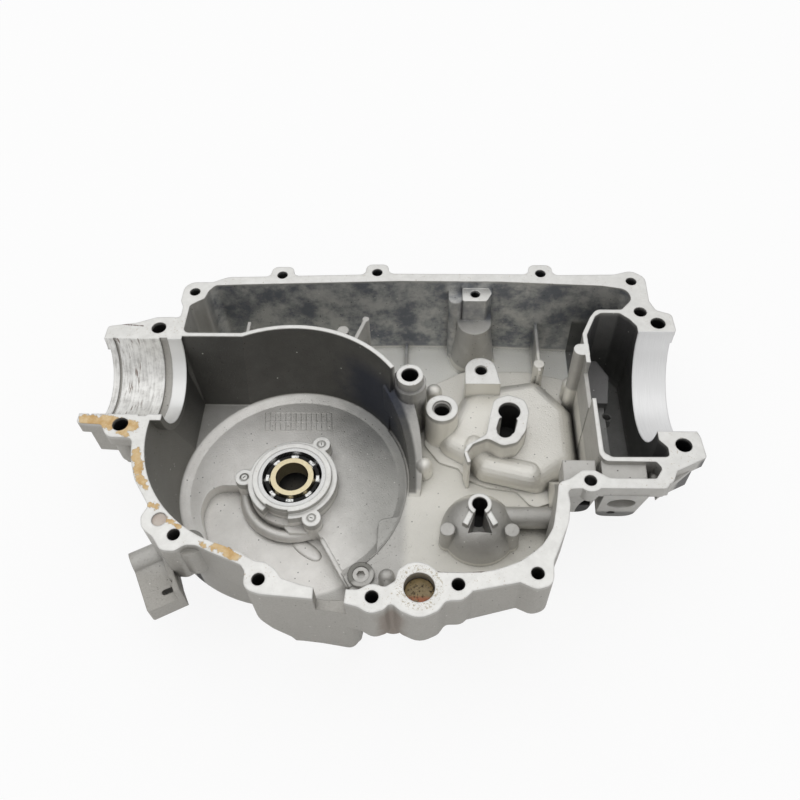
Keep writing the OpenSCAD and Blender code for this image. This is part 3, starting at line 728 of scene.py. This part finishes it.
def date_grid_shells():
    """Plain raised grid of two rows and thirteen columns with a dot in some cells."""
    z = JOINT_Z - DISC_DEPTH
    step = GRID_WIDTH / GRID_COLUMNS
    shells = []
    for i in range(GRID_COLUMNS + 1):
        x = GRID_X + step * i
        shells.append(bar_shell(x, GRID_BACK, x + GRID_LEAN, GRID_FRONT, z, LINE_HALF, LINE_HEIGHT))
    for y in (GRID_BACK, GRID_MIDDLE, GRID_FRONT):
        x = GRID_X + (GRID_BACK - y) / (GRID_BACK - GRID_FRONT) * GRID_LEAN
        shells.append(bar_shell(x, y, x + GRID_WIDTH, y + GRID_TILT, z, LINE_HALF, LINE_HEIGHT))
    for i in GRID_DOT_COLUMNS:
        for row, y in enumerate(GRID_DOT_ROWS):
            if (i + row) % 3:
                shells.append(swell((GRID_DOT_X + step * i + row, y, z), (0.75, 0.75, 0.5)))
    return shells


def floor_mark_shells():
    """Ear marks, round ejector marks, the oval pad and the soft lip of the low floor."""
    low = JOINT_Z - LOW_DEPTH
    shells = []
    for angle in map(math.radians, EAR_ANGLES):
        place = (EAR_R * math.cos(angle), EAR_R * math.sin(angle), JOINT_Z - EAR_DEPTH)
        shells.append(swell(place, (1.5, 0.45, 0.35), angle + 0.8, 0.6))
    shells.append(ring_shell((87.0, 71.8, JOINT_Z - BACK_DEPTH), 4.2, 0.45, 0.4))
    shells.append(ring_shell((138.7, 96.4, JOINT_Z - LEDGE_DEPTH), 4.4, 0.5, 0.4))
    shells.append(ring_shell((-14.0, -76.0, low), 4.0, 0.4, 0.35))
    shells.append(swell((13.2, -48.4, low), (13.4, 5.6, 1.6), math.radians(-34.7), 0.85, 11, 32))
    shells.append(bar_shell(24.5, -43.5, 48.5, -83.5, JOINT_Z - DISC_DEPTH + 0.1, 1.9, 0.9))
    return shells


def thread_shells():
    """Thread lines inside the tapped holes of the tower, the lug and the box block."""
    shells = []
    for (x, y), radius, depth, length in THREADS:
        start = (x, y, JOINT_Z - depth - length)
        turns = length / THREAD_PITCH
        shells.append(ring_shell(start, radius, 0.45, 0.35, turns, THREAD_PITCH, 36, 6))
    return shells


def add_piece(name, shells, material):
    """One object from closed shells of points and faces, riding on the cover."""
    starts = np.cumsum([0] + [len(points) for points, faces in shells])
    points = np.concatenate([points for points, faces in shells]) * MM
    faces = [
        [int(start) + i for i in face]
        for start, (_, shell_faces) in zip(starts, shells)
        for face in shell_faces
    ]
    mesh = bpy.data.meshes.new(name)
    mesh.from_pydata(points.tolist(), [], faces)
    mesh.shade_smooth()
    mesh.materials.append(material)
    piece = bpy.data.objects.new(name, mesh)
    bpy.context.scene.collection.objects.link(piece)
    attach(piece, BODY)


class CoverSettings(bpy.types.PropertyGroup):
    """Camera, light and sealant colours of the scene."""

    camera_at: FloatVectorProperty(
        name="Camera position",
        description="Place of the camera in the part's frame",
        default=(0.1072, -0.3151, 0.5325),
        subtype="TRANSLATION",
        unit="LENGTH",
    )
    pitch: FloatProperty(
        name="Camera pitch",
        description="Angle of the view below the horizon",
        default=math.radians(53.4),
        subtype="ANGLE",
    )
    heading: FloatProperty(
        name="Camera heading",
        description="Turn of the view from +Y towards -X",
        default=math.radians(3.9),
        subtype="ANGLE",
    )
    roll: FloatProperty(
        name="Camera roll",
        description="Turn of the camera about its own view line",
        default=math.radians(-2.61),
        subtype="ANGLE",
    )
    lens: FloatProperty(
        name="Focal length",
        description="Focal length on a sensor of 36 mm",
        default=35.96,
        unit="CAMERA",
    )
    horizon_light: FloatProperty(
        name="Light at the horizon",
        description="Strength of the white air just below the horizon",
        default=0.66,
        subtype="FACTOR",
    )
    overhead_light: FloatProperty(
        name="Light overhead",
        description="Strength of the white air overhead",
        default=0.9,
        subtype="FACTOR",
    )
    floor_glow: FloatProperty(
        name="Floor whiteness",
        description="Share of plain white in the floor as the camera sees it",
        default=0.86,
        subtype="FACTOR",
    )
    sealant_dark: FloatVectorProperty(
        name="Darker sealant",
        description="Colour of the thick patches of old sealant",
        default=(0.56, 0.34, 0.12),
        subtype="COLOR",
    )
    sealant_light: FloatVectorProperty(
        name="Lighter sealant",
        description="Colour of the thin patches of old sealant",
        default=(0.74, 0.57, 0.33),
        subtype="COLOR",
    )


class COVER_OT_casting(bpy.types.Operator):
    """Gives the casting its cast and machined finish and its cast marks"""

    bl_idname = "cover.casting"
    bl_label = "Casting finish"

    def execute(self, context):
        alloy = casting_material(context.scene.cover_settings)
        put_material("casting", alloy)
        add_piece("date_grid", date_grid_shells(), alloy)
        add_piece("floor_marks", floor_mark_shells(), alloy)
        add_piece("hole_threads", thread_shells(), alloy)
        return {"FINISHED"}


class COVER_OT_varnish(bpy.types.Operator):
    """Adds the dry oil skin in the front oil hole"""

    bl_idname = "cover.varnish"
    bl_label = "Oil varnish"

    def execute(self, context):
        skin = swell((*OIL_HOLE, JOINT_Z - 8.0), (9.55, 9.55, 0.5), cols=48)
        add_piece("oil_varnish_skin", [skin], varnish_material())
        return {"FINISHED"}


class COVER_OT_bearing(bpy.types.Operator):
    """Gives the bearing pieces and the plug their steels"""

    bl_idname = "cover.bearing"
    bl_label = "Bearing finish"

    def execute(self, context):
        ring = steel_material("ring_steel", (0.55, 0.55, 0.54), (0.72, 0.72, 0.71), 0.22)
        inner = steel_material("oiled_steel", (0.62, 0.52, 0.30), (0.80, 0.73, 0.54), 0.25)
        ball = steel_material("ball_steel", (0.72, 0.72, 0.72), (0.82, 0.82, 0.82), 0.12)
        plug = steel_material("plug_steel", (0.40, 0.39, 0.37), (0.62, 0.61, 0.58), 0.38)
        put_material("bearing_outer_ring", ring)
        put_material("bearing_inner_ring", inner)
        put_material("bearing_cage", cage_material())
        put_material("oil_way_plug", plug)
        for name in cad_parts:
            if name.startswith("ball_"):
                put_material(name, ball)
        return {"FINISHED"}


class COVER_OT_studio(bpy.types.Operator):
    """Builds the floor, lights and camera"""

    bl_idname = "cover.studio"
    bl_label = "Studio"

    def execute(self, context):
        settings = context.scene.cover_settings
        add_floor(settings)
        world_light(settings)
        add_overhead_lamp()
        add_camera(settings)
        context.scene.view_settings.view_transform = "Standard"
        return {"FINISHED"}


def add_floor(settings):
    """Square floor under the lowest face of the part."""
    half = 6.0
    low = CAD_BOX[0][2]
    mesh = bpy.data.meshes.new("studio_floor")
    corners = [(-half, -half, low), (half, -half, low), (half, half, low), (-half, half, low)]
    mesh.from_pydata(corners, [], [(0, 1, 2, 3)])
    mesh.materials.append(floor_material(settings.floor_glow))
    floor = bpy.data.objects.new("studio_floor", mesh)
    bpy.context.scene.collection.objects.link(floor)


def world_light(settings):
    """White air overhead that dims towards the horizon; the camera sees plain white."""
    world = bpy.data.worlds.new("studio_air")
    bpy.context.scene.world = world
    g = Graph(world, "ShaderNodeOutputWorld")
    direction = g.node("ShaderNodeTexCoord", out="Generated")
    height = g.node("ShaderNodeSeparateXYZ", {}, {0: direction}, out="Z")
    limits = {
        "Value": height,
        "From Min": -0.1,
        "From Max": 0.9,
        "To Min": settings.horizon_light,
        "To Max": settings.overhead_light,
    }
    level = g.node("ShaderNodeMapRange", {}, limits)
    air = g.node("ShaderNodeBackground", {}, {"Color": WHITE, "Strength": level})
    backdrop = g.node("ShaderNodeBackground", {}, {"Color": WHITE})
    seen = g.node("ShaderNodeLightPath", out="Is Camera Ray")
    g.surface(g.node("ShaderNodeMixShader", {}, {0: seen, 1: air, 2: backdrop}))


def add_overhead_lamp():
    """Broad weak lamp high above the part, a little behind it."""
    data = bpy.data.lights.new("overhead", "AREA")
    data.shape = "DISK"
    data.size = 2.2
    data.energy = 3.0
    lamp = bpy.data.objects.new("overhead", data)
    bpy.context.scene.collection.objects.link(lamp)
    place = Vector((-0.2, 0.3, 1.6))
    aim = Vector((0.05, 0.0, 0.0))
    lamp.location = place
    lamp.rotation_euler = (aim - place).to_track_quat("-Z", "Y").to_euler()


def add_camera(settings):
    """Looks along the heading and down by the pitch, then turns by the roll."""
    data = bpy.data.cameras.new("photo_camera")
    data.sensor_width = 36.0
    data.lens = settings.lens
    data.clip_start = 0.01
    ahead = Vector((-math.sin(settings.heading), math.cos(settings.heading), 0.0))
    forward = ahead * math.cos(settings.pitch) + Vector((0, 0, -math.sin(settings.pitch)))
    right = forward.cross(Vector((0, 0, 1))).normalized()
    up = right.cross(forward)
    turn = Matrix.Rotation(settings.roll, 3, "Z")
    basis = Matrix((right, up, -forward)).transposed() @ turn
    camera = bpy.data.objects.new("photo_camera", data)
    bpy.context.scene.collection.objects.link(camera)
    camera.matrix_world = Matrix.Translation(Vector(settings.camera_at)) @ basis.to_4x4()
    bpy.context.scene.camera = camera


class COVER_PT_panel(bpy.types.Panel):
    """Sidebar panel with one button for each operator"""

    bl_idname = "COVER_PT_panel"
    bl_label = "Crankcase cover"
    bl_space_type = "VIEW_3D"
    bl_region_type = "UI"
    bl_category = "Cover"

    def draw(self, context):
        for name in BUILD_ORDER:
            self.layout.operator(name)


BUILD_ORDER = ("cover.casting", "cover.varnish", "cover.bearing", "cover.studio")
CLASSES = (
    CoverSettings,
    COVER_OT_casting,
    COVER_OT_varnish,
    COVER_OT_bearing,
    COVER_OT_studio,
    COVER_PT_panel,
)


def register():
    for cls in CLASSES:
        bpy.utils.register_class(cls)
    bpy.types.Scene.cover_settings = PointerProperty(type=CoverSettings)


def unregister():
    del bpy.types.Scene.cover_settings
    for cls in reversed(CLASSES):
        bpy.utils.unregister_class(cls)


def main():
    register()
    for name in BUILD_ORDER:
        group, action = name.split(".")
        getattr(getattr(bpy.ops, group), action)()


if __name__ == "__main__":
    main()
